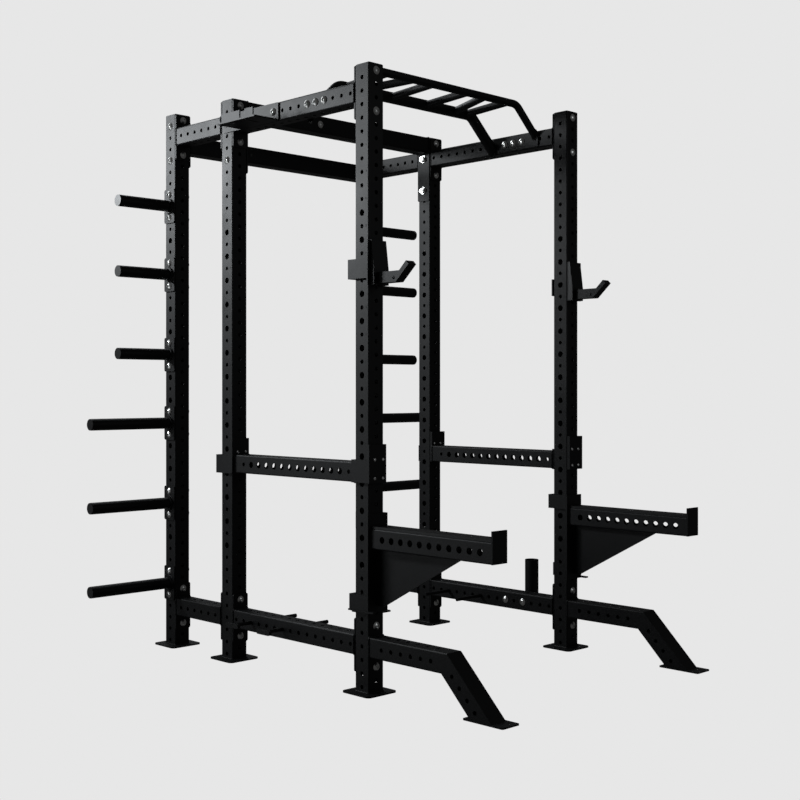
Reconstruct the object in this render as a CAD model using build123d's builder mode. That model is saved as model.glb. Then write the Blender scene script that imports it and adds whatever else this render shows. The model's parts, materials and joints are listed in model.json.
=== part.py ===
from build123d import *
from math import ceil, cos, radians, sin, sqrt, tan
import os

os.makedirs("parts", exist_ok=True)

# Power cage, millimetres. +Z is up, +Y runs from the front to the back, +X to the user's right.
# The origin is on the floor, in the middle of the cage's outline.

# ---- Driving dimensions ----
inch = 25.4
height = 93 * inch
width = 1188.0            # between upright centres, left to right
front_bay = 840.0         # between upright centres, front to middle
rear_bay = 16.5 * inch    # between upright centres, middle to rear
tube = 3 * inch
wall = 3.0
tube_corner = 6.0
pitch = 2 * inch          # hole spacing everywhere
bolt_radius = 8.0
bolt_clearance = 0.25
big_hole_radius = 12.7
big_hole_numbers = range(11, 38, 2)
half = tube / 2
hole_radius = bolt_radius + bolt_clearance

plate = 6.0               # thickness of feet, flanges and bolted plates
base_plate = tube + 3 * inch
base_plate_corner = 19.0
flange_corner = 8.0
flange_height = 4 * pitch
flange_bolt_spacing = 3 * pitch
cap = 2.0

bottom_beam_rise = 7 * inch       # least height of the bottom beams' centres, to the nearest hole
rear_crossmember_hole = 2.5
middle_bolt_step = 3              # holes between the bolts of the middle crossmember's end plates
rear_plate_holes = (1, 4)
brace_bolt_x = 144.0

foot_bend = 422.8                 # front uprights to the bend of the front feet
foot_angle = 45.0
foot_plate_front = 53.52          # foot plate beyond the tube, in front and behind
foot_plate_back = 23.7
foot_plate_width = tube + 13.8
foot_first_hole = 66.6            # from the upright's face
foot_slope_hole = 55.0            # from the bend
foot_holes = 6
foot_slope_holes = 4

front_rail_radius = 16.5
rear_rail_radius = 24.0
rung_radius = 16.5
rail_wall = 3.0
front_rail_rise = 36.0            # rail centre above the upright tops
rear_rail_rise = 21.3
front_rail_landing = 21.1         # where each rail's end meets its plate, above the plate's middle
rear_rail_landing = -16.9
front_rail_offset = -124.6        # from the middle of the mounting plates
rear_rail_offset = 125.4
rail_drop = 43.0                  # slope of the rail ends, degrees
rail_bend_radius = 60.0
inner_rung = 105.0                # from the cage's middle
outer_rung = 60.0                 # from the front rail's bend
slanted_rung = (148.0, 75.0)      # inwards of the outer rung, at the front rail and at the rear rail
rail_plate_length = 290.0
rail_plate_height = tube - 10.2
rail_plate_hole = -3              # beam hole at the plates' middle, counted from the bay's middle

horn_radius = 25.0
short_horn = 270.0
long_horn = 405.0
horn_collar_radius = 32.0
horn_collar = 10.0
horn_cap = 6.0
horn_cap_inset = 0.5
horn_plate_height = 2 * pitch + 48.4
short_horn_holes = (8, 14, 21)
long_horn_holes = (27, 34, 41)

peg_out = 100.0                   # beyond the beam's outer face
peg_in = 163.0                    # beyond the beam's inner face
peg_end_length = 82.0
peg_end_thickness = 12.0
peg_end_height = 18.0
peg_holes = (1, 5)

holder_radius = 31.0
holder_wall = 3.0
holder_height = 215.0
holder_gap = 13.5                 # bracket plate to tube
holder_hole = -3                  # beam hole at the holder's middle
holder_plate_length = 2 * pitch + 48.4
holder_plate_height = 60.0
holder_web = 30.0

shelf_width = 122.0
shelf_front = 30.6                # in front of the shelf's front bolt
shelf_back = 102.0                # from the shelf's back edge to the middle uprights
shelf_flange_back = 22.0          # flange behind the middle uprights' centres
shelf_flange_height = tube - 2.2
shelf_slot_length = 50.0
shelf_slot_width = 10.0
shelf_slot_y = 81.3               # behind the shelf's front edge
shelf_lip = 38.0
shelf_front_lip = (9.0, 62.0)     # start and end of each lip, behind the shelf's front edge
shelf_rear_lip = (95.0, 214.0)
shelf_bolt_hole = 2

bolt_head_radius = 2 * bolt_radius
bolt_head = 9.0
bolt_socket_radius = 0.8 * bolt_radius
bolt_socket_depth = 5.0
bolt_overrun = 4.0
nut_flat = 1.5 * bolt_radius
nut_height = 13.0
nut_bore = bolt_radius + 0.2
washer_radius = 2 * bolt_radius + 1
washer = 3.0

slip = 0.5                        # clear gap between a sliding piece and an upright
liner = 6.0
steel = 6.0
spine = 8.0
lip_short = 20.0                  # a hook's rear lip stops this short of the upright's far edge
pin_reach = 40.0                  # how far a pin reaches past the face it enters

# Heights of a moving piece are given from its own pin, and reaches from the upright's face.
jcup_hole = 15
jcup_plate = (-70.2, 97.8)        # bottom and top of the front plate
jcup_side = (-44.2, 29.8)         # bottom and top of the side plate
jcup_reach_back = 26.9
jcup_pad_top = 7.0
jcup_pad_bottom = 21.5
jcup_pad_knee = -13.2
jcup_hook_width = 40.0
jcup_hook_low = -64.2
jcup_hook_high = -23.2
jcup_hook_knee = 123.9
jcup_hook_seat = 141.9
jcup_hook_tip = 190.9
jcup_lip = 19.0
jcup_pin_radius = big_hole_radius - slip

arm_pin_hole = 35.5
arm_rise = inch                   # arm's centre above its pin
arm_reach = 606.9
arm_lip = 6.0
arm_lip_height = 114.0
arm_pad = 9.0
arm_pad_width = tube - 6.2
arm_pin_radius = hole_radius - 0.05
arm_pin_out = 5.0
arm_first_hole = 70.9
arm_hole_pitch = 48.4
arm_last_margin = 40.0
spine_span = (-250.8, 118.2)
arm_upper_hook = (57.2, 118.2)
arm_lower_hook = (-242.8, -186.8)
arm_hook_reach = 18.9
arm_shelf_reach = 41.9
gusset = 8.0
gusset_tip = 440.9
gusset_low = (41.9, -227.8)

safety_hole = 30
safety_rail_rise = -9.2
safety_front_steel = 7.5          # plate behind the front upright
safety_front_plate = (-48.2, 96.8)
safety_side = (-46.2, 38.8)
safety_rear_side = (-50.2, 26.8)
safety_rear_reach = 20.9
safety_pin_radius = hole_radius - slip
safety_screws = (39.8, -30.2)
safety_screw_x = 21.0
safety_screw_radius = 5.0
safety_first_hole = 28.6          # from the rail's front end
safety_hole_pitch = 50.0
safety_last_margin = 40.0

# ---- Worked-out places ----
left, right = -1, 1
half_width = width / 2
# The first hole whose washer clears the middle crossmember holds its end plates and the top beams.
top_beam_hole = ceil((tube + washer_radius) / pitch)
middle_plate_holes = (top_beam_hole, top_beam_hole + middle_bolt_step)
middle_plate_drop = (middle_plate_holes[1] + 1) * pitch
bottom_beam_hole = round((height - bottom_beam_rise) / pitch)
hole_rows = int((height - plate) // pitch)
top_beam_z = height - top_beam_hole * pitch
bottom_beam_z = height - bottom_beam_hole * pitch
foot_fall = (bottom_beam_z - plate) / tan(radians(foot_angle))
foot_slant = half / sin(radians(foot_angle))
foot_reach = foot_bend + foot_fall + foot_slant + foot_plate_front
foot_plate_length = foot_plate_front + 2 * foot_slant + foot_plate_back
depth = foot_reach + front_bay + rear_bay + base_plate / 2
front_y = foot_reach - depth / 2
middle_y = front_y + front_bay
rear_y = middle_y + rear_bay
upright_ys = {"front": front_y, "middle": middle_y, "rear": rear_y}
outer_face = half_width + half
inner_face = half_width - half
bays = {"front": (front_y, middle_y), "rear": (middle_y, rear_y)}
bay_middle = (front_y + middle_y) / 2


def hole_z(number):
    """Height of a numbered side hole, counted down from the top."""
    return height - number * pitch


def bay_hole_ys(bay):
    """Side holes of a beam, symmetric about the middle of its bay."""
    start, end = bays[bay]
    middle = (start + end) / 2
    clear = (end - start) / 2 - half - plate - hole_radius - wall
    if bay == "front":
        count = int(clear // pitch)
        return [middle + pitch * step for step in range(-count, count + 1)]
    count = int((clear + pitch / 2) // pitch)
    return [middle + pitch * (step + 0.5) for step in range(-count, count)]


def write(name, piece):
    piece.part.label = name
    export_step(piece.part, f"parts/{name}.step")


def along(origin, direction):
    """A placement whose own Z axis runs along the direction."""
    return Plane(origin=origin, z_dir=direction).location


def square_tube(plane, length, corner=tube_corner):
    """A straight length of square tube, drawn from the plane along its normal."""
    with BuildPart() as piece:
        with BuildSketch(plane):
            RectangleRounded(tube, tube, corner)
            RectangleRounded(tube - 2 * wall, tube - 2 * wall, corner - wall, mode=Mode.SUBTRACT)
        extrude(amount=length)
    return piece.part


def drill(points, direction, radius, length=2 * tube):
    """Straight holes centred on the points, cut from the part being built."""
    with Locations(*[along(point, direction) for point in points]):
        Cylinder(radius, length, mode=Mode.SUBTRACT)


# ---- Uprights, base plates and caps ----
def build_upright(side, y):
    x = side * half_width
    numbers = range(1, hole_rows + 1)
    small = [(x, y, hole_z(n)) for n in numbers if n not in big_hole_numbers]
    big = [(x, y, hole_z(n)) for n in big_hole_numbers]
    face = [(x, y, hole_z(n - 0.5)) for n in numbers]
    with BuildPart() as upright:
        add(square_tube(Plane((x, y, plate)), height - plate))
        drill(small, (1, 0, 0), hole_radius)
        drill(big, (1, 0, 0), big_hole_radius)
        drill(face, (0, 1, 0), hole_radius)
    return upright


for row, y in upright_ys.items():
    for side_name, side in (("left", left), ("right", right)):
        write(f"upright_{row}_{side_name}", build_upright(side, y))

foot_plate_y = front_y - foot_reach + foot_plate_length / 2
with BuildPart() as base_plates:
    with BuildSketch():
        with Locations(*[(s * half_width, y) for s in (left, right) for y in upright_ys.values()]):
            RectangleRounded(base_plate, base_plate, base_plate_corner)
        with Locations(*[(s * half_width, foot_plate_y) for s in (left, right)]):
            RectangleRounded(foot_plate_width, foot_plate_length, flange_corner)
    extrude(amount=plate)
write("base_plates", base_plates)

with BuildPart() as upright_caps:
    with BuildSketch(Plane.XY.offset(height)):
        with Locations(*[(s * half_width, y) for s in (left, right) for y in upright_ys.values()]):
            RectangleRounded(tube - 2 * cap, tube - 2 * cap, tube_corner)
    extrude(amount=cap)
write("upright_caps", upright_caps)


# ---- Side beams and their end flanges ----
def build_beam(side, bay, z):
    x = side * half_width
    start, end = bays[bay]
    first = start + half + plate
    holes = [(x, y, z) for y in bay_hole_ys(bay)]
    with BuildPart() as beam:
        add(square_tube(Plane((x, first, z), z_dir=(0, 1, 0)), end - half - plate - first))
        drill(holes, (1, 0, 0), hole_radius)
        drill(holes, (0, 0, 1), hole_radius)
    return beam


levels = {"top": top_beam_z, "bottom": bottom_beam_z}
for level, z in levels.items():
    for bay in bays:
        for side_name, side in (("left", left), ("right", right)):
            write(f"{level}_beam_{bay}_{side_name}", build_beam(side, bay, z))


# Each plate on a beam's end has a bolt hole above and below its beam.
flange_centres = [(s * half_width, z) for s in (left, right) for z in levels.values()]
with BuildPart() as beam_flanges:
    for start, end in bays.values():
        for face in (start + half + plate, end - half):
            with BuildSketch(Plane((0, face, 0), x_dir=(1, 0, 0), z_dir=(0, -1, 0))):
                with Locations(*flange_centres):
                    RectangleRounded(tube, flange_height, flange_corner)
                    with Locations((0, flange_bolt_spacing / 2), (0, -flange_bolt_spacing / 2)):
                        Circle(hole_radius, mode=Mode.SUBTRACT)
            extrude(amount=plate)
write("beam_flanges", beam_flanges)

# ---- Crossmembers ----
middle_z = height - half
rear_z = hole_z(rear_crossmember_hole)
cross_half = inner_face - plate


def build_crossmember(y, z, face_bolts):
    with BuildPart() as crossmember:
        add(square_tube(Plane((-cross_half, y, z), z_dir=(1, 0, 0)), 2 * cross_half))
        if face_bolts:
            drill([(s * brace_bolt_x, y, z) for s in (left, right)], (0, 1, 0), hole_radius)
    return crossmember


write("middle_crossmember", build_crossmember(middle_y, middle_z, True))
write("rear_crossmember", build_crossmember(rear_y, rear_z, False))

# Each end plate: its y, its top and bottom, and the side holes that its bolts use.
end_plates = ((middle_y, height, height - middle_plate_drop, middle_plate_holes),
              (rear_y, rear_z + flange_height / 2, rear_z - flange_height / 2, rear_plate_holes))
with BuildPart() as crossmember_plates:
    for y, top, bottom, numbers in end_plates:
        for face in (-inner_face, inner_face - plate):
            with BuildSketch(Plane((face, y, (top + bottom) / 2), x_dir=(0, 1, 0), z_dir=(1, 0, 0))):
                RectangleRounded(tube, top - bottom, flange_corner)
            extrude(amount=plate)
        drill([(s * inner_face, y, hole_z(n)) for s in (left, right) for n in numbers],
              (1, 0, 0), hole_radius, 4 * plate)
write("crossmember_plates", crossmember_plates)


# ---- Front feet ----
def build_foot(side):
    x = side * half_width
    bend_y = front_y - foot_bend
    slope = (-cos(radians(foot_angle)), -sin(radians(foot_angle)))
    run = 2 * bottom_beam_z
    tip = (x, bend_y + slope[0] * run, bottom_beam_z + slope[1] * run)
    start = (x, front_y - half, bottom_beam_z)
    flat = [(x, front_y - half - foot_first_hole - pitch * step, bottom_beam_z) for step in range(foot_holes)]
    distances = [foot_slope_hole + pitch * step for step in range(foot_slope_holes)]
    sloped = [(x, bend_y + slope[0] * d, bottom_beam_z + slope[1] * d) for d in distances]
    with BuildPart() as foot:
        with BuildLine() as route:
            Polyline(start, (x, bend_y, bottom_beam_z), tip)
        with BuildSketch(Plane(start, x_dir=(1, 0, 0), z_dir=(0, -1, 0))):
            RectangleRounded(tube, tube, tube_corner)
            RectangleRounded(tube - 2 * wall, tube - 2 * wall, tube_corner - wall, mode=Mode.SUBTRACT)
        sweep(path=route.line, transition=Transition.RIGHT)
        split(bisect_by=Plane.XY.offset(plate), keep=Keep.TOP)
        drill(flat + sloped, (1, 0, 0), hole_radius)
        drill(flat, (0, 0, 1), hole_radius, tube + 2 * wall)
    return foot


write("front_foot_left", build_foot(left))
write("front_foot_right", build_foot(right))

# ---- Pull-up assembly ----
rail_end = inner_face - plate


def rail_path(y, rise, straight):
    """Straight middle with both ends sloping down, carried on past the mounting plates."""
    z = height + rise
    reach = rail_end + tube
    fall = (reach - straight) * tan(radians(rail_drop))
    points = ((-reach, y, z - fall), (-straight, y, z), (straight, y, z), (reach, y, z - fall))
    with BuildLine() as path:
        FilletPolyline(*points, radius=rail_bend_radius)
    return path.line


def build_rail(y, rise, straight, radius, bore):
    """Round tube along the rail's path, its ends cut flat against the plates."""
    path = rail_path(y, rise, straight)
    with BuildPart() as rail:
        with BuildSketch(Plane(path @ 0, z_dir=path % 0)):
            Circle(radius)
            if bore:
                Circle(bore, mode=Mode.SUBTRACT)
        sweep(path=path)
        split(bisect_by=Plane.YZ.offset(rail_end), keep=Keep.BOTTOM)
        split(bisect_by=Plane.YZ.offset(-rail_end), keep=Keep.TOP)
    return rail


rail_plate_y = bay_middle + rail_plate_hole * pitch


def rail_half(rise, landing):
    """Half the straight length that lets a rail's sloped end reach its place on the mounting plate."""
    return rail_end - (height + rise - top_beam_z - landing) / tan(radians(rail_drop))


front_rail_half = rail_half(front_rail_rise, front_rail_landing)
rear_rail_half = rail_half(rear_rail_rise, rear_rail_landing)
front_rail = (rail_plate_y + front_rail_offset, front_rail_rise, front_rail_half, front_rail_radius)
rear_rail = (rail_plate_y + rear_rail_offset, rear_rail_rise, rear_rail_half, rear_rail_radius)
write("pullup_rail_front", build_rail(*front_rail, front_rail_radius - rail_wall))
write("pullup_rail_rear", build_rail(*rear_rail, rear_rail_radius - rail_wall))

rung_x = front_rail_half - outer_rung
rung_ends = [(s * x, s * x) for x in (inner_rung, rung_x) for s in (left, right)]
rung_ends += [(s * (rung_x - slanted_rung[0]), s * (rung_x - slanted_rung[1])) for s in (left, right)]
solid_rails = [build_rail(*rail, 0).part for rail in (front_rail, rear_rail)]
with BuildPart() as pullup_rungs:
    for front_x, rear_x in rung_ends:
        start = Vector(front_x, front_rail[0], height + front_rail_rise)
        end = Vector(rear_x, rear_rail[0], height + rear_rail_rise)
        with BuildSketch(Plane(start, z_dir=end - start)):
            Circle(rung_radius)
            Circle(rung_radius - rail_wall, mode=Mode.SUBTRACT)
        extrude(amount=(end - start).length)
    add(solid_rails, mode=Mode.SUBTRACT)
write("pullup_rungs", pullup_rungs)

rail_bolt_ys = [rail_plate_y + step * pitch for step in (-1, 0, 1)]
with BuildPart() as pullup_plates:
    for face in (-inner_face, inner_face - plate):
        with BuildSketch(Plane((face, rail_plate_y, top_beam_z), x_dir=(0, 1, 0), z_dir=(1, 0, 0))):
            RectangleRounded(rail_plate_length, rail_plate_height, flange_corner)
        extrude(amount=plate)
    drill([(s * inner_face, y, top_beam_z) for s in (left, right) for y in rail_bolt_ys],
          (1, 0, 0), hole_radius, 4 * plate)
write("pullup_plates", pullup_plates)

# ---- Plate storage ----
horns = [(s, n, reach) for s in (left, right)
         for numbers, reach in ((short_horn_holes, short_horn), (long_horn_holes, long_horn))
         for n in numbers]
horn_root = outer_face + plate


def build_horns(reach):
    """Round bars with a collar at the root, standing out from their plates."""
    with BuildPart() as bars:
        for s, n, length in horns:
            if length != reach:
                continue
            root = along((s * horn_root, rear_y, hole_z(n)), (s, 0, 0))
            with Locations(root):
                Cylinder(horn_radius, outer_face + reach - horn_root - horn_cap,
                         align=(Align.CENTER, Align.CENTER, Align.MIN))
                Cylinder(horn_collar_radius, horn_collar, align=(Align.CENTER, Align.CENTER, Align.MIN))
    return bars


write("storage_horns_short", build_horns(short_horn))
write("storage_horns_long", build_horns(long_horn))

with BuildPart() as horn_caps:
    for s, n, length in horns:
        with Locations(along((s * (outer_face + length - horn_cap), rear_y, hole_z(n)), (s, 0, 0))):
            Cylinder(horn_radius - horn_cap_inset, horn_cap, align=(Align.CENTER, Align.CENTER, Align.MIN))
write("horn_caps", horn_caps)

with BuildPart() as horn_plates:
    for s, n, length in horns:
        face = Plane((s * outer_face, rear_y, hole_z(n)), x_dir=(0, 1, 0), z_dir=(s, 0, 0))
        with BuildSketch(face):
            RectangleRounded(tube, horn_plate_height, flange_corner)
            with Locations((0, pitch), (0, -pitch)):
                Circle(hole_radius, mode=Mode.SUBTRACT)
        extrude(amount=plate)
write("horn_plates", horn_plates)

# ---- Band pegs ----
peg_ys = [bay_middle + pitch * n for n in peg_holes]
peg_tip = outer_face + peg_out
with BuildPart() as band_pegs:
    for s in (left, right):
        for y in peg_ys:
            with Locations(along((s * (inner_face - peg_in), y, bottom_beam_z), (s, 0, 0))):
                Cylinder(bolt_radius, peg_tip - peg_end_thickness - inner_face + peg_in,
                         align=(Align.CENTER, Align.CENTER, Align.MIN))
write("band_pegs", band_pegs)

with BuildPart() as band_peg_ends:
    for s in (left, right):
        face = Plane((s * (peg_tip - peg_end_thickness), 0, bottom_beam_z), x_dir=(0, 1, 0), z_dir=(s, 0, 0))
        with BuildSketch(face):
            with Locations(*[(y, 0) for y in peg_ys]):
                RectangleRounded(peg_end_length, peg_end_height, peg_end_height / 2 - 0.5)
        extrude(amount=peg_end_thickness)
write("band_peg_ends", band_peg_ends)

# ---- Bar holder on the right bottom beam ----
holder_x = outer_face + plate + holder_gap + holder_radius
holder_y = bay_middle + holder_hole * pitch
holder_base = bottom_beam_z - half
holder_bolts = [(holder_y + step * pitch, bottom_beam_z) for step in (-1, 1)]
with BuildPart() as bar_holder_tube:
    with BuildSketch(Plane((holder_x, holder_y, holder_base))):
        Circle(holder_radius)
        Circle(holder_radius - holder_wall, mode=Mode.SUBTRACT)
    extrude(amount=holder_height)
write("bar_holder_tube", bar_holder_tube)

with BuildPart() as bar_holder_bracket:
    with BuildSketch(Plane((outer_face, 0, 0), x_dir=(0, 1, 0), z_dir=(1, 0, 0))):
        with Locations((holder_y, bottom_beam_z)):
            RectangleRounded(holder_plate_length, holder_plate_height, flange_corner)
        with Locations(*holder_bolts):
            Circle(hole_radius, mode=Mode.SUBTRACT)
    extrude(amount=plate)
    with BuildSketch(Plane((outer_face + plate, 0, 0), x_dir=(0, 1, 0), z_dir=(1, 0, 0))):
        with Locations((holder_y, bottom_beam_z)):
            Rectangle(holder_web, holder_plate_height)
    extrude(amount=holder_gap + holder_radius)
    with Locations((holder_x, holder_y, bottom_beam_z)):
        Cylinder(holder_radius, 4 * holder_plate_height, mode=Mode.SUBTRACT)
write("bar_holder_bracket", bar_holder_bracket)

# ---- Accessory shelf on the left top beam ----
shelf_z = top_beam_z - half
shelf_bolt_y = bay_middle + shelf_bolt_hole * pitch
shelf_start = shelf_bolt_y - shelf_front
shelf_end = middle_y - shelf_back
shelf_flange_end = middle_y + shelf_flange_back
shelf_inner = outer_face + plate
shelf_outer = shelf_inner + shelf_width
with BuildPart() as shelf_bracket:
    with BuildSketch(Plane((-outer_face, 0, 0), x_dir=(0, -1, 0), z_dir=(-1, 0, 0))):
        with Locations((-(shelf_start + shelf_flange_end) / 2, shelf_z + shelf_flange_height / 2)):
            RectangleRounded(shelf_flange_end - shelf_start, shelf_flange_height, flange_corner)
        with Locations((-shelf_bolt_y, top_beam_z), (-middle_y, top_beam_z)):
            Circle(hole_radius, mode=Mode.SUBTRACT)
    extrude(amount=plate)
    with BuildSketch(Plane.XY.offset(shelf_z)):
        with Locations((-(shelf_inner + shelf_outer) / 2, (shelf_start + shelf_end) / 2)):
            Rectangle(shelf_width, shelf_end - shelf_start)
        with Locations((-(shelf_inner + shelf_outer) / 2, shelf_start + shelf_slot_y)):
            SlotOverall(shelf_slot_length, shelf_slot_width, mode=Mode.SUBTRACT)
    extrude(amount=plate)
    with BuildSketch(Plane((-shelf_outer, 0, 0), x_dir=(0, 1, 0), z_dir=(1, 0, 0))):
        for lip_start, lip_end in (shelf_front_lip, shelf_rear_lip):
            with Locations((shelf_start + (lip_start + lip_end) / 2, shelf_z + shelf_lip / 2)):
                Rectangle(lip_end - lip_start, shelf_lip)
    extrude(amount=plate)
write("shelf_bracket", shelf_bracket)


# ---- Fasteners ----
def build_bolt(grip):
    """Domed socket bolt: its seat is at Z = 0 and its shank runs down through grip, washer and nut."""
    with BuildPart() as bolt:
        with BuildSketch(Plane.XZ):
            with BuildLine():
                Polyline((0, bolt_head), (0, -grip - washer - nut_height - bolt_overrun),
                         (bolt_radius, -grip - washer - nut_height - bolt_overrun),
                         (bolt_radius, 0), (bolt_head_radius, 0), (bolt_head_radius, bolt_head / 6))
                RadiusArc((bolt_head_radius, bolt_head / 6), (0, bolt_head),
                          -(bolt_head_radius**2 + (bolt_head * 5 / 6)**2) / (2 * bolt_head * 5 / 6))
            make_face()
        revolve(axis=Axis.Z)
        with BuildSketch(Plane.XY.offset(bolt_head - bolt_socket_depth)):
            RegularPolygon(bolt_socket_radius, 6)
        extrude(amount=2 * bolt_socket_depth, mode=Mode.SUBTRACT)
    return bolt.part


def build_nut():
    """Hexagon nut that stands on Z = 0."""
    with BuildPart() as nut:
        with BuildSketch():
            RegularPolygon(nut_flat, 6, major_radius=False)
            Circle(nut_bore, mode=Mode.SUBTRACT)
        extrude(amount=nut_height)
    return nut.part


def build_washer():
    with BuildPart() as ring:
        with BuildSketch():
            Circle(washer_radius)
            Circle(nut_bore, mode=Mode.SUBTRACT)
        extrude(amount=washer)
    return ring.part


# Each bolt: the middle of its head's seat, the way the head faces, and its grip.
beam_zs = [z + step * flange_bolt_spacing / 2 for z in levels.values() for step in (-1, 1)]
frame_bolt_list = []
for s in (left, right):
    for z in beam_zs:
        frame_bolt_list.append(((s * half_width, front_y - half, z), (0, -1, 0), tube + plate))
        frame_bolt_list.append(((s * half_width, middle_y - half - plate, z), (0, -1, 0), tube + 2 * plate))
        frame_bolt_list.append(((s * half_width, rear_y - half - plate, z), (0, -1, 0), tube + plate))
    for y, top, bottom, numbers in end_plates:
        for n in numbers:
            bracketed = s == left and y == middle_y and n == top_beam_hole
            lift = plate if bracketed else 0
            frame_bolt_list.append(((s * (outer_face + lift), y, hole_z(n)), (s, 0, 0), tube + plate + lift))
    frame_bolt_list.append(((s * brace_bolt_x, middle_y - half, middle_z), (0, -1, 0), tube))
for y in rail_bolt_ys:
    frame_bolt_list.append(((-outer_face, y, top_beam_z), (-1, 0, 0), tube + plate))
    frame_bolt_list.append(((inner_face - plate, y, top_beam_z), (-1, 0, 0), tube + plate))
frame_bolt_list.append(((-outer_face - plate, shelf_bolt_y, top_beam_z), (-1, 0, 0), tube + plate))
for y, z in holder_bolts:
    frame_bolt_list.append(((inner_face, y, z), (-1, 0, 0), tube + plate))

horn_bolt_list = [((s * horn_root, rear_y, hole_z(n + step)), (s, 0, 0), tube + plate)
                  for s, n, length in horns for step in (-1, 1)]

bolt_list = frame_bolt_list + horn_bolt_list
with BuildPart() as bolts:
    for grip in sorted({bolt_grip for seat, facing, bolt_grip in bolt_list}):
        one_bolt = build_bolt(grip)
        with Locations(*[along(seat, facing) for seat, facing, bolt_grip in bolt_list if bolt_grip == grip]):
            add(one_bolt)
write("bolts", bolts)

washer_places = [(Vector(seat) - Vector(facing) * grip, -Vector(facing)) for seat, facing, grip in bolt_list]
one_washer = build_washer()
one_nut = build_nut()
with BuildPart() as washers:
    with Locations(*[along(place, facing) for place, facing in washer_places]):
        add(one_washer)
write("washers", washers)

with BuildPart() as nuts:
    with Locations(*[along(place + facing * washer, facing) for place, facing in washer_places]):
        add(one_nut)
write("nuts", nuts)


# ---- J-cups ----
# A point of a moving piece is given outwards from its upright's centre, so one outline serves both sides.
def across(side, low, high):
    """Sorted X limits of a span given outwards from an upright's centre."""
    return sorted((side * (half_width + low), side * (half_width + high)))


def block(side, outward, ys, zs):
    """A rectangular plate: outward span from the upright's centre, then Y and Z limits."""
    x_low, x_high = across(side, *outward)
    size = (x_high - x_low, ys[1] - ys[0], zs[1] - zs[0])
    with Locations(((x_low + x_high) / 2, (ys[0] + ys[1]) / 2, (zs[0] + zs[1]) / 2)):
        Box(*size)


def yz_outline(x, points):
    """Closed outline in a vertical plane across X; points are (y, z)."""
    with BuildSketch(Plane((x, 0, 0), x_dir=(0, 1, 0), z_dir=(1, 0, 0))) as outline:
        with BuildLine():
            Polyline(*points, close=True)
        make_face()
    return outline.sketch


def span(base, limits):
    """Limits given from a pin or face, as absolute heights."""
    return base + limits[0], base + limits[1]


side_in = half + slip + liner         # inside of a steel side plate
side_out = side_in + steel
front_face = front_y - half
back_face = front_y + half
plate_back = front_face - slip
jcup_front = plate_back - steel
jcup_z = hole_z(jcup_hole)
jcup_back = back_face + jcup_reach_back
hook_low = jcup_z + jcup_hook_low
hook_high = jcup_z + jcup_hook_high


def build_jcup(side):
    """Front plate, outer side plate, rear lip and the hook that carries the bar."""
    x_low, x_high = across(side, -jcup_hook_width / 2, jcup_hook_width / 2)
    rise = jcup_lip / sqrt(2)
    tip_y = front_face - jcup_hook_tip
    tip_z = hook_low + jcup_hook_tip - jcup_hook_knee - steel
    hook = ((jcup_front, hook_low), (front_face - jcup_hook_knee, hook_low), (tip_y, tip_z),
            (tip_y + rise, tip_z + rise), (front_face - jcup_hook_seat, hook_high), (jcup_front, hook_high))
    side_span = span(jcup_z, jcup_side)
    with BuildPart() as bracket:
        block(side, (-half, side_out), (jcup_front, plate_back), span(jcup_z, jcup_plate))
        block(side, (side_in, side_out), (plate_back, jcup_back), side_span)
        block(side, (-half + lip_short, side_out), (jcup_back - steel, jcup_back), side_span)
        extrude(yz_outline(x_low, hook), amount=x_high - x_low)
    return bracket


def build_jcup_pads(side):
    """Plastic wedge round the hook's root, and a sheet between the side plate and the upright."""
    front_top = jcup_front - jcup_pad_top
    front_bottom = jcup_front - jcup_pad_bottom
    low, high = span(jcup_z, jcup_plate)
    wedge = ((jcup_front, low), (front_bottom, low), (front_bottom, jcup_z + jcup_pad_knee),
             (front_top, high), (jcup_front, high))
    x_low, x_high = across(side, -half, half)
    with BuildPart() as pads:
        extrude(yz_outline(x_low, wedge), amount=x_high - x_low)
        with Locations((side * half_width, (jcup_front + front_bottom) / 2, (hook_low + hook_high) / 2)):
            Box(jcup_hook_width, 4 * jcup_pad_bottom, hook_high - hook_low, mode=Mode.SUBTRACT)
        block(side, (half + slip, side_in), (plate_back, jcup_back - steel), span(jcup_z, jcup_side))
        drill([(side * (half_width + side_in), front_y, jcup_z)], (1, 0, 0), jcup_pin_radius, tube)
    return pads


def build_side_pin(side, y, number, radius):
    """Locating pin on a side plate's inner face, reaching into a numbered side hole."""
    with BuildPart() as pin:
        with Locations(along((side * (half_width + side_in), y, hole_z(number)), (-side, 0, 0))):
            Cylinder(radius, liner + slip + pin_reach, align=(Align.CENTER, Align.CENTER, Align.MIN))
    return pin


# ---- Spotter arms ----
arm_pin_z = hole_z(arm_pin_hole)
arm_z = arm_pin_z + arm_rise
arm_front = plate_back - spine
arm_tip = front_face - arm_reach
arm_back = back_face + arm_hook_reach
arm_holes = int((arm_reach - arm_first_hole - arm_last_margin) // arm_hole_pitch) + 1
upper_span = span(arm_pin_z, arm_upper_hook)
lower_span = span(arm_pin_z, arm_lower_hook)


def build_arm(side):
    """Square arm tube with a row of large side holes and a raised end lip."""
    x = side * half_width
    holes = [(x, front_face - arm_first_hole - arm_hole_pitch * step, arm_z) for step in range(arm_holes)]
    with BuildPart() as arm:
        add(square_tube(Plane((x, arm_front, arm_z), z_dir=(0, -1, 0)), arm_front - arm_tip))
        drill(holes, (1, 0, 0), big_hole_radius)
        block(side, (-half, half), (arm_tip - arm_lip, arm_tip), (arm_z - half, arm_z - half + arm_lip_height))
    return arm


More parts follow.
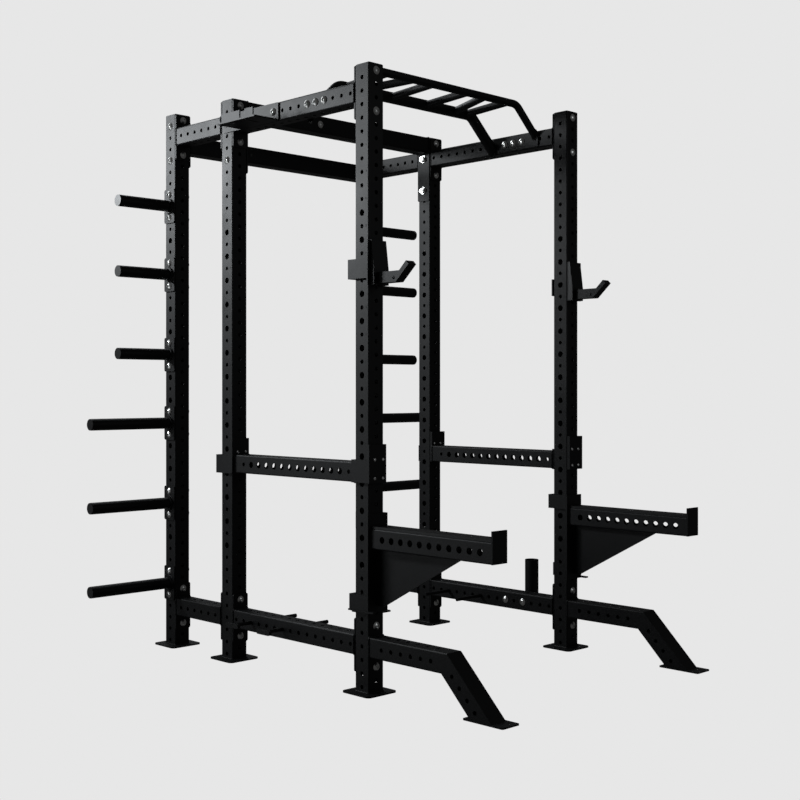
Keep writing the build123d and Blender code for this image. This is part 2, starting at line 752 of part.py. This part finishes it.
def build_arm_bracket(side):
    """Spine, upper hook on the inner side, lower hook on the outer side, and gusset."""
    under = arm_z - half
    gusset_y = front_face - gusset_low[0]
    gusset_z = arm_pin_z + gusset_low[1]
    x_low, x_high = across(side, -gusset / 2, gusset / 2)
    web = ((arm_front, under), (front_face - gusset_tip, under), (gusset_y, gusset_z), (arm_front, gusset_z))
    with BuildPart() as bracket:
        block(side, (-side_out, side_out), (arm_front, plate_back), span(arm_pin_z, spine_span))
        block(side, (-side_out, -side_in), (plate_back, arm_back), upper_span)
        block(side, (-side_out, half - lip_short), (arm_back - steel, arm_back), upper_span)
        block(side, (side_in, side_out), (plate_back, arm_back), lower_span)
        block(side, (-half + lip_short, side_out), (arm_back - steel, arm_back), lower_span)
        block(side, (half + slip, side_out + steel), (front_face - arm_shelf_reach, arm_back),
              (lower_span[0] - steel, lower_span[0]))
        extrude(yz_outline(x_low, web), amount=x_high - x_low)
        drill([(side * half_width, arm_front, arm_pin_z)], (0, 1, 0), arm_pin_radius, 4 * spine)
    return bracket


def build_arm_pad(side):
    """Plastic strip along the arm's top and liners inside both hooks."""
    with BuildPart() as pad:
        block(side, (-arm_pad_width / 2, arm_pad_width / 2), (arm_tip, arm_front),
              (arm_z + half, arm_z + half + arm_pad))
        block(side, (-side_in, -half - slip), (plate_back, arm_back - steel), upper_span)
        block(side, (half + slip, side_in), (plate_back, arm_back - steel), lower_span)
    return pad


def build_arm_pin(side):
    """Pivot pin, flush with the spine's front and just through the upright's back."""
    with BuildPart() as pin:
        with Locations(along((side * half_width, arm_front, arm_pin_z), (0, 1, 0))):
            Cylinder(arm_pin_radius, back_face + arm_pin_out - arm_front,
                     align=(Align.CENTER, Align.CENTER, Align.MIN))
    return pin


# ---- Safeties ----
safety_z = hole_z(safety_hole)
safety_rail_z = safety_z + safety_rail_rise
safety_plate_back = plate_back - liner
safety_face = safety_plate_back - spine
rail_start = back_face + slip + safety_front_steel
rear_plate_back = middle_y - half - slip - liner
rail_stop = rear_plate_back - spine
safety_back = middle_y + half + safety_rear_reach
tall_span = span(safety_z, safety_front_plate)
front_side_span = span(safety_z, safety_side)
rear_side_span = span(safety_z, safety_rear_side)
safety_holes = int((rail_stop - rail_start - safety_first_hole - safety_last_margin) // safety_hole_pitch) + 1


def build_safety_rail(side):
    x = side * half_width
    spots = [(x, rail_start + safety_first_hole + safety_hole_pitch * step, safety_rail_z)
             for step in range(safety_holes)]
    with BuildPart() as rail:
        add(square_tube(Plane((x, rail_start, safety_rail_z), z_dir=(0, 1, 0)), rail_stop - rail_start))
        drill([spots[0], spots[-1]], (1, 0, 0), hole_radius)
        drill(spots[1:-1], (1, 0, 0), big_hole_radius)
    return rail


def safety_screw_holes(side, y, heights):
    """Screw holes through a bracket's plate and its liner, cut from the part being built."""
    drill([(side * half_width + step * safety_screw_x, y, safety_z + z) for step in (-1, 1) for z in heights],
          (0, 1, 0), safety_screw_radius, 4 * spine)


def build_safety_brackets(side):
    """Two brackets, open towards the cage, one round each upright."""
    with BuildPart() as brackets:
        block(side, (-half, side_out), (safety_face, safety_plate_back), tall_span)
        block(side, (side_in, side_out), (safety_plate_back, rail_start), front_side_span)
        block(side, (-half, side_out), (back_face + slip, rail_start), (safety_rail_z - half, front_side_span[1]))
        block(side, (-half, side_out), (rail_stop, rear_plate_back), tall_span)
        block(side, (side_in, side_out), (rear_plate_back, safety_back), rear_side_span)
        block(side, (-half + lip_short, side_out), (safety_back - steel, safety_back), rear_side_span)
        safety_screw_holes(side, safety_face, safety_screws)
        safety_screw_holes(side, rear_plate_back, safety_screws[:1])
    return brackets


def build_safety_liners(side):
    """Plastic sheets between the brackets and the uprights."""
    with BuildPart() as liners:
        block(side, (-half, side_in), (safety_plate_back, plate_back), tall_span)
        block(side, (half + slip, side_in), (plate_back, back_face + slip), front_side_span)
        block(side, (-half, side_in), (rear_plate_back, middle_y - half - slip), tall_span)
        block(side, (half + slip, side_in), (middle_y - half - slip, safety_back - steel), rear_side_span)
        pins = [(side * (half_width + side_in), y, safety_z) for y in (front_y, middle_y)]
        drill(pins, (1, 0, 0), safety_pin_radius, tube)
        safety_screw_holes(side, safety_plate_back, safety_screws)
        safety_screw_holes(side, rear_plate_back, safety_screws[:1])
    return liners


def build_safety_pins(side):
    with BuildPart() as pins:
        for y in (front_y, middle_y):
            add(build_side_pin(side, y, safety_hole, safety_pin_radius).part)
    return pins


for side_name, side in (("left", left), ("right", right)):
    write(f"jcup_bracket_{side_name}", build_jcup(side))
    write(f"jcup_pads_{side_name}", build_jcup_pads(side))
    write(f"jcup_pin_{side_name}", build_side_pin(side, front_y, jcup_hole, jcup_pin_radius))
    write(f"spotter_arm_{side_name}", build_arm(side))
    write(f"arm_bracket_{side_name}", build_arm_bracket(side))
    write(f"arm_pads_{side_name}", build_arm_pad(side))
    write(f"arm_pin_{side_name}", build_arm_pin(side))
    write(f"safety_rail_{side_name}", build_safety_rail(side))
    write(f"safety_brackets_{side_name}", build_safety_brackets(side))
    write(f"safety_liners_{side_name}", build_safety_liners(side))
    write(f"safety_pins_{side_name}", build_safety_pins(side))
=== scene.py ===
"""Looks of the power cage: textured black powder coat, bright zinc fasteners and matte plastics."""
import json
from math import cos, pi, radians

import bpy
import numpy as np
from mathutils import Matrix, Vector


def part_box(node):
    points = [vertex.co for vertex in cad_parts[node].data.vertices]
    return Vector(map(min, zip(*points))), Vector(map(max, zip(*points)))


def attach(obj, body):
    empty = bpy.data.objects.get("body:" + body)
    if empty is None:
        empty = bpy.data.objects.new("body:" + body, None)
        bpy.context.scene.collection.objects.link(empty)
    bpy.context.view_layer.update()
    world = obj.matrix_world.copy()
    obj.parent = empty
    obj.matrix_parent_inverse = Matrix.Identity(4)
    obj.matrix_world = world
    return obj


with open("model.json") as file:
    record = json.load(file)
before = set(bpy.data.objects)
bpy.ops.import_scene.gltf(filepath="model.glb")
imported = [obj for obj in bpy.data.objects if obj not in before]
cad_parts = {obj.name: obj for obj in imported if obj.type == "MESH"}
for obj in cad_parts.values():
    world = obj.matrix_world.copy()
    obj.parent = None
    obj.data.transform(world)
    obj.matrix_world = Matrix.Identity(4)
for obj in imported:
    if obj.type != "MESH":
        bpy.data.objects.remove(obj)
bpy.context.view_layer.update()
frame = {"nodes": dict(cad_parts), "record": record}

# ---- Real sizes, in metres ----
INCH = 0.0254
PITCH = 2 * INCH          # hole spacing
HALF = 1.5 * INCH         # half of the square tube
TUBE_CORNER = 0.006
HOLE_ROWS = 46
HORN_HOLES = (8, 14, 21, 27, 34, 41)
COLLAR_RADIUS = 0.032
RAIL_RADII = {"front": 0.0165, "rear": 0.024}
RAIL_DROP = radians(43)   # slope of the pull-up rails' ends
ARM_HOLE = 35             # side hole level with the spotter arms' centres
SCREW = 0.0062            # head radius of the small screws
SAFETY_SCREW_X = 0.021    # either side of the upright's centre
SAFETY_SCREW_ZS = (0.878, 0.808)
HOOK_HALF = 0.020         # half the width of a J-cup's hook
HOOK_SCREW_Y = 0.150      # in front of the upright's centre
HOOK_SCREW_Z = 1.552

nodes = frame["nodes"]


# ---- Materials ----
def linear(hex_colour):
    """sRGB hex to linear RGBA."""
    rgb = np.array([int(hex_colour[i:i + 2], 16) for i in (1, 3, 5)]) / 255
    rgb = np.where(rgb <= 0.04045, rgb / 12.92, ((rgb + 0.055) / 1.055) ** 2.4)
    return (*rgb.tolist(), 1.0)


def add(tree, kind, inputs=None, **settings):
    """Adds a node, sets its properties, and fills its inputs with values or links."""
    node = tree.nodes.new(kind)
    for key, value in settings.items():
        setattr(node, key, value)
    for key, value in (inputs or {}).items():
        if isinstance(value, bpy.types.NodeSocket):
            tree.links.new(value, node.inputs[key])
        else:
            node.inputs[key].default_value = value
    return node


def new_material(name):
    """An empty material with its tree, its shader and the Object coordinates."""
    material = bpy.data.materials.new(name)
    material.use_nodes = True
    tree = material.node_tree
    tree.nodes.clear()
    shader = add(tree, "ShaderNodeBsdfPrincipled")
    add(tree, "ShaderNodeOutputMaterial", {"Surface": shader.outputs["BSDF"]})
    place = add(tree, "ShaderNodeTexCoord").outputs["Object"]
    return material, tree, shader, place


def ramp(tree, factor, stops):
    """A colour ramp through (position, hex) stops."""
    node = add(tree, "ShaderNodeValToRGB", {"Fac": factor})
    elements = node.color_ramp.elements
    while len(elements) < len(stops):
        elements.new(0.5)
    for element, (position, colour) in zip(elements, stops):
        element.position = position
        element.color = linear(colour)
    return node.outputs["Color"]


def powder_coat():
    """Polyester powder coat, baked to a fine sand texture: it breaks up highlights and stays matte."""
    material, tree, shader, place = new_material("sand_texture_black_powder_coat")
    # The grit is about 0.4 mm; it is drawn at 1.6 mm so that it still shows.
    grit = add(tree, "ShaderNodeTexNoise", {"Vector": place, "Scale": 620.0, "Detail": 3.0, "Roughness": 0.6})
    # Film thickness drifts over a hand's width and moves the shade a little.
    drift = add(tree, "ShaderNodeTexNoise", {"Vector": place, "Scale": 7.0, "Detail": 4.0})
    colour = ramp(tree, drift.outputs["Fac"], ((0.3, "#0c0c0d"), (0.7, "#101112")))
    speck = ramp(tree, grit.outputs["Fac"], ((0.42, "#080809"), (0.66, "#191a1c")))
    mixed = add(tree, "ShaderNodeMix", {"Factor": 0.45, 6: colour, 7: speck}, data_type="RGBA")
    rough = add(tree, "ShaderNodeMapRange", {"Value": drift.outputs["Fac"], "To Min": 0.46, "To Max": 0.58})
    bump = add(tree, "ShaderNodeBump", {"Height": grit.outputs["Fac"], "Strength": 0.22, "Distance": 0.0004})
    tree.links.new(mixed.outputs[2], shader.inputs["Base Color"])
    tree.links.new(rough.outputs["Result"], shader.inputs["Roughness"])
    tree.links.new(bump.outputs["Normal"], shader.inputs["Normal"])
    shader.inputs["IOR"].default_value = 1.5
    shader.inputs["Specular IOR Level"].default_value = 0.22
    return material


def bright_zinc():
    """Bright zinc plate over turned steel: a mirror with fine turning marks and slightly dull patches."""
    material, tree, shader, place = new_material("bright_zinc_plated_steel")
    marks = add(tree, "ShaderNodeTexNoise", {"Vector": place, "Scale": 900.0, "Detail": 2.0})
    dull = add(tree, "ShaderNodeTexNoise", {"Vector": place, "Scale": 60.0, "Detail": 3.0})
    colour = ramp(tree, dull.outputs["Fac"], ((0.3, "#c9cac9"), (0.7, "#e6e6e3")))
    rough = add(tree, "ShaderNodeMapRange", {"Value": dull.outputs["Fac"], "To Min": 0.24, "To Max": 0.38})
    bump = add(tree, "ShaderNodeBump", {"Height": marks.outputs["Fac"], "Strength": 0.06, "Distance": 0.0002})
    tree.links.new(colour, shader.inputs["Base Color"])
    tree.links.new(rough.outputs["Result"], shader.inputs["Roughness"])
    tree.links.new(bump.outputs["Normal"], shader.inputs["Normal"])
    shader.inputs["Metallic"].default_value = 1.0
    return material


def plastic(name, dark, light, roughness, scale, strength):
    """Solid coloured plastic with a moulded or milled grain: soft highlights, faint mottling."""
    material, tree, shader, place = new_material(name)
    grain = add(tree, "ShaderNodeTexNoise", {"Vector": place, "Scale": scale, "Detail": 3.0})
    mottle = add(tree, "ShaderNodeTexNoise", {"Vector": place, "Scale": 22.0, "Detail": 4.0})
    colour = ramp(tree, mottle.outputs["Fac"], ((0.3, dark), (0.7, light)))
    rough = add(tree, "ShaderNodeMapRange",
                {"Value": mottle.outputs["Fac"], "To Min": roughness - 0.05, "To Max": roughness + 0.05})
    bump = add(tree, "ShaderNodeBump",
               {"Height": grain.outputs["Fac"], "Strength": strength, "Distance": 0.0003})
    tree.links.new(colour, shader.inputs["Base Color"])
    tree.links.new(rough.outputs["Result"], shader.inputs["Roughness"])
    tree.links.new(bump.outputs["Normal"], shader.inputs["Normal"])
    shader.inputs["IOR"].default_value = 1.49
    shader.inputs["Specular IOR Level"].default_value = 0.25
    return material


finishes = {
    "black_powder_coat": powder_coat(),
    "bright_zinc": bright_zinc(),
    # Milled UHMW polyethylene: waxy black with faint cutter marks.
    "black_plastic": plastic("milled_black_uhmw", "#0b0b0c", "#111213", 0.42, 380.0, 0.12),
}
# Scale numbers, laser-marked: the beam leaves the coat a shade lighter and duller.
number_mark = plastic("laser_marked_numbers", "#1f2022", "#28292b", 0.7, 500.0, 0.05)
# Black-oxide driver screws in the J-cup hooks.
black_oxide = plastic("black_oxide_screw", "#1b1b1c", "#262728", 0.33, 600.0, 0.08)

slots = {part["node"]: part["material_slot"] for part in frame["record"]["subparts"]}
for name, node in nodes.items():
    node.data.materials.clear()
    node.data.materials.append(finishes[slots[name]])


# ---- Mesh helpers ----
def make_piece(name, points, faces, slot, body, smooth=True, material=None):
    """A mesh object from an (n, 3) array and a list of faces, riding on a body."""
    mesh = bpy.data.meshes.new(name)
    mesh.from_pydata(np.asarray(points).tolist(), [], faces)
    mesh.polygons.foreach_set("use_smooth", [smooth] * len(mesh.polygons))
    mesh.materials.append(material or finishes[slot])
    mesh.update()
    piece = bpy.data.objects.new(name, mesh)
    bpy.context.scene.collection.objects.link(piece)
    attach(piece, body)
    return piece


def ring_faces(rows, columns):
    """Quads of a grid whose rows and columns both close on themselves."""
    r, c = np.meshgrid(np.arange(rows), np.arange(columns), indexing="ij")
    r2, c2 = (r + 1) % rows, (c + 1) % columns
    quads = np.stack([r * columns + c, r2 * columns + c, r2 * columns + c2, r * columns + c2], -1)
    return quads.reshape(-1, 4)


def join(parts):
    """Several (points, faces) pairs as one."""
    points, faces, start = [], [], 0
    for part_points, part_faces in parts:
        points.append(part_points)
        faces += [[int(i) + start for i in face] for face in part_faces]
        start += len(part_points)
    return np.concatenate(points), faces


def rounded_square(half_a, half_b, corner, per_side=14, per_corner=5):
    """Closed loop: four straight sides joined by quarter circles; returns (a, b) and outward (na, nb)."""
    loop, normal = [], []
    for quarter in range(4):
        turn = quarter * pi / 2
        centre = np.array([(half_a - corner) * (1 if quarter in (0, 3) else -1),
                           (half_b - corner) * (1 if quarter in (0, 1) else -1)])
        angles = np.linspace(turn, turn + pi / 2, per_corner)
        arc = np.stack([np.cos(angles), np.sin(angles)], -1)
        loop.append(centre + corner * arc)
        normal.append(arc)
    loop, normal = np.concatenate(loop), np.concatenate(normal)
    following = np.roll(loop, -1, 0)
    next_normal = np.roll(normal, -1, 0)
    dense, dense_normal = [], []
    for p, q, n, m in zip(loop, following, normal, next_normal):
        steps = per_side if np.linalg.norm(q - p) > 2 * corner else 1
        share = np.arange(steps)[:, None] / steps
        dense.append(p + (q - p) * share)
        dense_normal.append(n + (m - n) * share)
    return np.concatenate(dense), np.concatenate(dense_normal)


def weld_bead(loop, outward, up, leg):
    """Fillet weld along a closed loop: a rounded section whose leg swells with each ripple,
    leg * (1 + 0.1 cos(2 pi s / ripple)), set in the corner between the tube and the plate."""
    steps = np.linalg.norm(np.roll(loop, -1, 0) - loop, axis=1)
    travelled = np.concatenate([[0], np.cumsum(steps)[:-1]])
    ripples = max(8, round(steps.sum() / 0.004))
    swell = leg * (1 + 0.1 * np.cos(2 * pi * ripples * travelled / steps.sum()))[:, None]
    section = ((-0.15, -0.15), (-0.15, 1.0), (0.35, 0.8), (0.75, 0.45), (1.0, -0.15))
    rows = [loop + swell * (a * outward + b * up) for a, b in section]
    return np.stack(rows, 1).reshape(-1, 3), ring_faces(len(loop), len(section))


def square_weld(centre, axis_a, axis_b, up, half_a=HALF, half_b=HALF, corner=TUBE_CORNER, leg=0.0045):
    """A weld bead round a square tube that meets a plate at the centre."""
    flat, normal = rounded_square(half_a, half_b, corner, per_side=20)
    axes = np.array([axis_a, axis_b], float)
    return weld_bead(np.asarray(centre, float) + flat @ axes, normal @ axes, np.asarray(up, float), leg)


def round_weld(centre, axis_a, axis_b, up, radius, leg=0.004, stretch=1.0):
    """A weld bead round a bar of that radius; stretch widens it along axis_b where the bar meets at a slant."""
    angles = np.linspace(0, 2 * pi, 96, endpoint=False)
    circle = np.stack([np.cos(angles), np.sin(angles) * stretch], -1)
    axes = np.array([axis_a, axis_b], float)
    normal = np.stack([np.cos(angles), np.sin(angles)], -1) @ axes
    return weld_bead(np.asarray(centre, float) + radius * circle @ axes, normal, np.asarray(up, float), leg)


def revolve(profile, origin, axis, segments=32):
    """A (radius, height) profile turned about the axis through the origin, with both ends closed."""
    axis = np.asarray(axis, float)
    side = np.cross(axis, (0.3, 0.9, 0.1))
    side /= np.linalg.norm(side)
    other = np.cross(axis, side)
    angles = np.linspace(0, 2 * pi, segments, endpoint=False)
    ring = np.cos(angles)[:, None] * side + np.sin(angles)[:, None] * other
    rows = [np.asarray(origin) + r * ring + h * axis for r, h in profile]
    points = np.concatenate(rows)
    faces = [[i * segments + j, i * segments + (j + 1) % segments,
              (i + 1) * segments + (j + 1) % segments, (i + 1) * segments + j]
             for i in range(len(profile) - 1) for j in range(segments)]
    faces.append(list(range(segments))[::-1])
    faces.append([(len(profile) - 1) * segments + j for j in range(segments)])
    return points, faces


# ---- Places read from the frame ----
def middle(node):
    low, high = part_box(node)
    return (np.array(low) + np.array(high)) / 2


uprights = {(row, side): middle(f"upright_{row}_{side}")
            for row in ("front", "middle", "rear") for side in ("left", "right")}
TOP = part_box("upright_front_left")[1].z
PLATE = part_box("base_plates")[1].z
SIDES = {"left": -1, "right": 1}
X, Y, Z = np.eye(3)


def hole_z(number):
    return TOP - number * PITCH


# ---- Welds ----
def frame_welds():
    """Beads where square tubes meet base plates, flanges, end plates and the front uprights."""
    beads = []
    for centre in uprights.values():
        beads.append(square_weld((centre[0], centre[1], PLATE), X, Y, Z))
    for level in ("top", "bottom"):
        for bay in ("front", "rear"):
            for side in SIDES:
                low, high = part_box(f"{level}_beam_{bay}_{side}")
                x, z = (low.x + high.x) / 2, (low.z + high.z) / 2
                beads.append(square_weld((x, low.y, z), Z, X, Y))
                beads.append(square_weld((x, high.y, z), X, Z, -Y))
    for name in ("middle_crossmember", "rear_crossmember"):
        low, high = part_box(name)
        y, z = (low.y + high.y) / 2, (low.z + high.z) / 2
        beads.append(square_weld((low.x, y, z), Y, Z, X))
        beads.append(square_weld((high.x, y, z), Z, Y, -X))
    for side in SIDES:
        low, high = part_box(f"front_foot_{side}")
        beads.append(square_weld(((low.x + high.x) / 2, high.y, high.z - HALF), X, Z, -Y))
    return join(beads)


def horn_welds():
    """Beads round each storage horn's collar, where it meets its back plate."""
    beads = []
    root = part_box("horn_plates")[1].x
    y = uprights["rear", "left"][1]
    for outward in SIDES.values():
        for number in HORN_HOLES:
            centre = (outward * root, y, hole_z(number))
            beads.append(round_weld(centre, Y, outward * Z, outward * X, COLLAR_RADIUS, leg=0.003))
    return join(beads)


def pullup_welds():
    """Beads where the two rails meet their mounting plates at a slant."""
    beads = []
    for row, radius in RAIL_RADII.items():
        low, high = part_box(f"pullup_rail_{row}")
        y = (low.y + high.y) / 2
        stretch = 1 / cos(RAIL_DROP)
        for outward in SIDES.values():
            end = high.x if outward > 0 else low.x
            centre = (end, y, low.z + radius * stretch)
            beads.append(round_weld(centre, Y, -outward * Z, -outward * X, radius, leg=0.0035, stretch=stretch))
    return join(beads)


make_piece("frame_welds", *frame_welds(), "black_powder_coat", "frame")
make_piece("horn_welds", *horn_welds(), "black_powder_coat", "frame")
make_piece("pullup_welds", *pullup_welds(), "black_powder_coat", "frame")

for side, outward in SIDES.items():
    x = uprights["front", side][0]
    root = square_weld((x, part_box(f"spotter_arm_{side}")[1].y, hole_z(ARM_HOLE)), X, Z, -Y)
    make_piece(f"arm_weld_{side}", *root, "black_powder_coat", f"arm_{side}")
    low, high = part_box(f"safety_rail_{side}")
    z = (low.z + high.z) / 2
    ends = join([square_weld((x, low.y, z), Z, X, Y), square_weld((x, high.y, z), X, Z, -Y)])
    make_piece(f"safety_welds_{side}", *ends, "black_powder_coat", f"safety_{side}")


# ---- Scale numbers ----
def digit_meshes(height):
    """Each digit as (points, faces) in its own plane, its lower left corner at the origin, with its width."""
    glyphs = {}
    for digit in "0123456789":
        curve = bpy.data.curves.new("digit", "FONT")
        curve.body = digit
        curve.size = height / 0.7
        curve.extrude = 0.00008
        curve.resolution_u = 3
        holder = bpy.data.objects.new("digit", curve)
        bpy.context.scene.collection.objects.link(holder)
        mesh = bpy.data.meshes.new_from_object(holder.evaluated_get(bpy.context.evaluated_depsgraph_get()))
        points = np.array([v.co[:] for v in mesh.vertices])
        points[:, 0] -= points[:, 0].min()
        glyphs[digit] = (points, [list(p.vertices) for p in mesh.polygons], points[:, 0].max())
        bpy.data.objects.remove(holder)
        bpy.data.curves.remove(curve)
        bpy.data.meshes.remove(mesh)
    return glyphs


def number_rows(glyphs, centre, right, facing):
    """Every even hole number from 6 down, beside its hole on the face that looks along facing."""
    parts = []
    for number in range(6, HOLE_ROWS + 1, 2):
        pen = 0.0
        letters = []
        for digit in str(number):
            points, faces, width = glyphs[digit]
            letters.append((points + (pen, 0, 0), faces))
            pen += width + 0.0012
        points, faces = join(letters)
        points = points - ((pen - 0.0012) / 2, 0.0038, 0)
        spot = np.array([centre[0], centre[1], hole_z(number)]) + (HALF + 0.00005) * facing + 0.0235 * right
        placed = spot + points[:, :1] * right + points[:, 1:2] * Z + points[:, 2:] * facing
        parts.append((placed, faces))
    return join(parts)


digits = digit_meshes(0.0085)
for (row, side), centre in uprights.items():
    both = [number_rows(digits, centre, -Y, -X), number_rows(digits, centre, Y, X)]
    make_piece(f"hole_numbers_{row}_{side}", *join(both), "black_powder_coat", "frame", smooth=False,
               material=number_mark)


# ---- Small screws of the moving pieces ----
def dome_screw(origin, axis, radius):
    """Button screw: a low dome with a countersunk driver recess in its middle."""
    height = 0.45 * radius
    profile = [(radius, -0.002), (radius, 0.15 * height), (0.93 * radius, 0.5 * height),
               (0.75 * radius, 0.82 * height), (0.5 * radius, height), (0.42 * radius, height),
               (0.34 * radius, 0.3 * height)]
    return revolve(profile, origin, axis)


for side in SIDES:
    centre_x, centre_y = uprights["front", side][:2]
    front_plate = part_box(f"safety_brackets_{side}")[0].y
    rear_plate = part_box(f"safety_rail_{side}")[1].y
    xs = (centre_x - SAFETY_SCREW_X, centre_x + SAFETY_SCREW_X)
    screws = [dome_screw((x, front_plate, z), -Y, SCREW) for x in xs for z in SAFETY_SCREW_ZS]
    screws += [dome_screw((x, rear_plate, SAFETY_SCREW_ZS[0]), -Y, SCREW) for x in xs]
    make_piece(f"safety_screws_{side}", *join(screws), "bright_zinc", f"safety_{side}")
    hooks = [dome_screw((centre_x + s * HOOK_HALF, centre_y - HOOK_SCREW_Y, HOOK_SCREW_Z), s * X, SCREW)
             for s in (-1, 1)]
    make_piece(f"jcup_screws_{side}", *join(hooks), "bright_zinc", f"jcup_{side}", material=black_oxide)


# ---- Camera, floor and light ----
FRONT_Y = uprights["front", "left"][1]
camera_data = bpy.data.cameras.new("camera")
camera_data.sensor_width = 36.0
camera_data.lens = 56.97
camera_data.shift_y = -0.0140
camera_data.clip_end = 100.0
camera = bpy.data.objects.new("camera", camera_data)
camera.location = (-3.8495, FRONT_Y - 3.4894, 1.143)
camera.rotation_euler = (radians(90), 0, radians(-44.401))
bpy.context.scene.collection.objects.link(camera)
bpy.context.scene.camera = camera



def backdrop(tree, emitter, output, reflected, ambient):
    """The same even grey wherever the camera sees it, and much dimmer as light: a cut-out studio sweep."""
    path = add(tree, "ShaderNodeLightPath")
    glossy = add(tree, "ShaderNodeMix", {0: path.outputs["Is Glossy Ray"], 2: ambient, 3: reflected})
    strength = add(tree, "ShaderNodeMix", {0: path.outputs["Is Camera Ray"], 2: glossy.outputs[0], 3: 1.0})
    emitter.inputs["Color"].default_value = linear("#e7e7e7")
    tree.links.new(strength.outputs[0], emitter.inputs["Strength"])
    tree.links.new(emitter.outputs[0], output.inputs["Surface"])


REACH = 60.0
floor_mesh = bpy.data.meshes.new("floor")
floor_mesh.from_pydata([(-REACH, -REACH, 0), (REACH, -REACH, 0), (REACH, REACH, 0), (-REACH, REACH, 0)], [],
                       [(0, 1, 2, 3)])
floor_material = bpy.data.materials.new("studio_sweep")
floor_material.use_nodes = True
floor_tree = floor_material.node_tree
floor_tree.nodes.clear()
floor_output = add(floor_tree, "ShaderNodeOutputMaterial")
backdrop(floor_tree, add(floor_tree, "ShaderNodeEmission"), floor_output, 0.06, 0.05)
floor_mesh.materials.append(floor_material)
floor = bpy.data.objects.new("floor", floor_mesh)
bpy.context.scene.collection.objects.link(floor)

world = bpy.data.worlds.new("studio")
world.use_nodes = True
world_tree = world.node_tree
backdrop(world_tree, world_tree.nodes["Background"], world_tree.nodes["World Output"], 0.07, 0.016)
bpy.context.scene.world = world


def soft_light(name, place, target, size, power, lights=True, glints=True):
    """A square softbox that faces the target and stays out of the picture; it may only light, or only glint."""
    data = bpy.data.lights.new(name, "AREA")
    data.size = size
    data.energy = power
    data.color = (0.93, 0.97, 1.0)
    lamp = bpy.data.objects.new(name, data)
    lamp.location = place
    lamp.rotation_euler = (Vector(place) - Vector(target)).to_track_quat("Z", "Y").to_euler()
    lamp.visible_camera = False
    lamp.visible_diffuse = lights
    lamp.visible_glossy = glints
    bpy.context.scene.collection.objects.link(lamp)


# The key stands behind the cage's left and tilts up: uprights shade what they carry, and light fades
# downwards.
soft_light("high_key", (-2.45, 2.66, 2.6), (-0.6, -0.3, 4.8), 0.8, 165.0)
soft_light("low_fill", (-2.6, 1.5, 0.5), (0.2, 0.2, 2.3), 1.6, 10.0)
soft_light("right_box", (3.6, 2.0, 2.2), (0.4, 0.2, 1.2), 2.0, 120.0, glints=False)
soft_light("back_box", (0.3, 3.8, 4.4), (0.0, 0.4, 1.2), 2.0, 70.0)
soft_light("front_glint_card", (0.5, -4.5, 2.6), (0.0, 0.0, 1.3), 2.0, 14.0, lights=False)
bpy.context.scene.view_settings.view_transform = "Standard"
